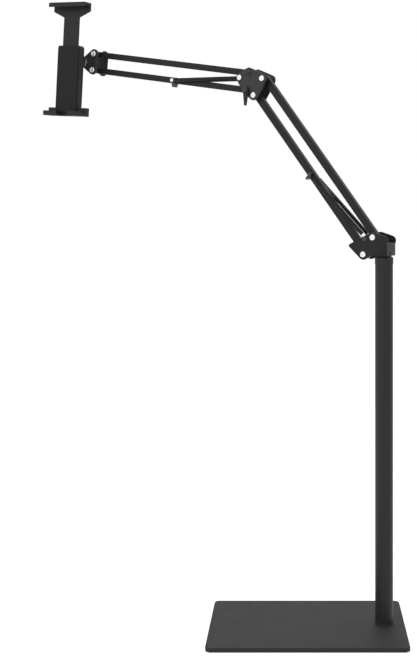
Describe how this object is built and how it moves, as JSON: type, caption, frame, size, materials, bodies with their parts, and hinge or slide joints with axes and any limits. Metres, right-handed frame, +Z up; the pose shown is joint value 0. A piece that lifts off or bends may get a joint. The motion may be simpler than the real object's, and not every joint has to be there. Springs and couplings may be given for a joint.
{
  "type": "tablet floor stand",
  "caption": "Floor stand with a weighted plate, a pole, a sprung parallelogram arm that swivels and folds, and a ball-jointed sprung holder for a tablet.",
  "frame": {"origin": "centre of the base's footprint on the floor", "axes": "+Z up, +X along the plate's long side towards the pole, +Y away from the viewer"},
  "size_m": [0.6572, 0.4175, 1.0849],
  "materials": {
    "plate_paint": "fine textured powder coat, black",
    "pole_paint": "satin powder coat, black",
    "arm_paint": "satin black paint",
    "cheek_paint": "matt dark grey paint",
    "bright_steel": "zinc plated",
    "dark_steel": "black oxide",
    "spring_steel": "blackened wire",
    "nylon": "moulded",
    "holder_plastic": "fine moulded grain",
    "soft_rubber": "matt"
  },
  "bodies": {
    "root": {"base_mat": "soft_rubber", "base_plate": "plate_paint", "pole_bolt": "dark_steel", "pole_foot_plug": "nylon", "pole_tube": "pole_paint", "pole_collar": "nylon", "swivel_bush": "nylon"},
    "arm_bracket": {"swivel_bracket": "cheek_paint", "swivel_washer": "dark_steel", "swivel_screw": "dark_steel", "bracket_bolts": "bright_steel", "bracket_nuts": "dark_steel", "bracket_spacers": "nylon", "bracket_spring_studs": "dark_steel"},
    "lower_arm_top": {"lower_arm_top_bar": "arm_paint"},
    "lower_arm_bottom": {"lower_arm_bottom_bar": "arm_paint", "lower_spring_clip": "dark_steel", "lower_clip_pin": "dark_steel", "lower_spring_front": "spring_steel", "lower_spring_back": "spring_steel"},
    "elbow": {"elbow_front_plate": "cheek_paint", "elbow_back_plate": "cheek_paint", "elbow_bolts": "bright_steel", "elbow_nuts": "dark_steel", "elbow_spacers": "nylon", "elbow_spring_studs": "bright_steel", "elbow_clamp_bolt": "dark_steel"},
    "clamp_lever": {"elbow_clamp_lever": "holder_plastic"},
    "upper_arm_top": {"upper_arm_top_bar": "arm_paint"},
    "upper_arm_bottom": {"upper_arm_bottom_bar": "arm_paint", "upper_spring_clip": "dark_steel", "upper_clip_pin": "bright_steel", "upper_spring_front": "spring_steel", "upper_spring_back": "spring_steel"},
    "arm_head": {"head_front_plate": "cheek_paint", "head_back_plate": "cheek_paint", "head_bolts": "bright_steel", "head_nuts": "dark_steel", "head_spacers": "nylon", "ball_stud": "bright_steel", "ball_stud_nut": "dark_steel"},
    "ball_seat": {"ball_seat": "nylon"},
    "ball_socket": {"ball_socket": "holder_plastic", "roll_screw": "dark_steel"},
    "holder": {"holder_shell": "holder_plastic", "holder_cover": "holder_plastic", "cover_screws": "dark_steel", "holder_pad": "soft_rubber", "foot_pads": "soft_rubber", "jaw_spring": "spring_steel"},
    "top_jaw": {"top_jaw": "holder_plastic", "top_jaw_pad": "soft_rubber"}
  },
  "joints": [
    {"name": "arm_swivel", "type": "hinge", "parent": "root", "child": "arm_bracket", "pos_m": [0.128, 0, 0.6], "axis": [0, 0, 1], "continuous": true},
    {"name": "lower_arm_lift", "type": "hinge", "parent": "arm_bracket", "child": "lower_arm_top", "pos_m": [0.11617, 0.00629, 0.6507], "axis": [0.4695, 0.8829, 0], "range_deg": [-32, 25]},
    {"name": "lower_arm_follow", "type": "hinge", "parent": "arm_bracket", "child": "lower_arm_bottom", "pos_m": [0.10098, 0.01437, 0.62235], "axis": [0.4695, 0.8829, 0], "range_deg": [-32, 25], "deforming": ["lower_spring_front", "lower_spring_back"]},
    {"name": "elbow_level", "type": "hinge", "parent": "lower_arm_top", "child": "elbow", "pos_m": [-0.07083, 0.10572, 0.92621], "axis": [0.4695, 0.8829, 0], "range_deg": [-25, 32]},
    {"name": "clamp_lever_turn", "type": "hinge", "parent": "elbow", "child": "clamp_lever", "pos_m": [-0.09749, 0.1199, 0.90781], "axis": [0.4695, 0.8829, 0], "range_deg": [-15, 75]},
    {"name": "upper_arm_lift", "type": "hinge", "parent": "elbow", "child": "upper_arm_top", "pos_m": [-0.09467, 0.11839, 0.93781], "axis": [0.4695, 0.8829, 0], "range_deg": [-54, 40]},
    {"name": "upper_arm_follow", "type": "hinge", "parent": "elbow", "child": "upper_arm_bottom", "pos_m": [-0.09749, 0.1199, 0.90781], "axis": [0.4695, 0.8829, 0], "range_deg": [-54, 40], "deforming": ["upper_spring_front", "upper_spring_back"]},
    {"name": "head_level", "type": "hinge", "parent": "upper_arm_top", "child": "arm_head", "pos_m": [-0.39541, 0.2783, 0.99267], "axis": [0.4695, 0.8829, 0], "range_deg": [-40, 54]},
    {"name": "holder_tilt", "type": "hinge", "parent": "arm_head", "child": "ball_seat", "pos_m": [-0.43177, 0.25465, 0.97767], "axis": [-0.8813, 0.4686, 0.061], "range_deg": [-20, 20]},
    {"name": "holder_turn", "type": "hinge", "parent": "ball_seat", "child": "ball_socket", "pos_m": [-0.43177, 0.25465, 0.97767], "axis": [0.0539, -0.0287, 0.9981], "range_deg": [-20, 20]},
    {"name": "holder_roll", "type": "hinge", "parent": "ball_socket", "child": "holder", "pos_m": [-0.43177, 0.25465, 0.97767], "axis": [0.4695, 0.8829, 0], "continuous": true},
    {"name": "jaw_slide", "type": "slide", "parent": "holder", "child": "top_jaw", "axis": [0.0539, -0.0287, 0.9981], "range_m": [-0.05, 0.02], "deforming": ["jaw_spring"]}
  ],
  "couplings": [
    {"joint": "lower_arm_follow", "follows": "lower_arm_lift", "ratio": 1},
    {"joint": "elbow_level", "follows": "lower_arm_lift", "ratio": -1},
    {"joint": "upper_arm_follow", "follows": "upper_arm_lift", "ratio": 1},
    {"joint": "head_level", "follows": "upper_arm_lift", "ratio": -1}
  ]
}
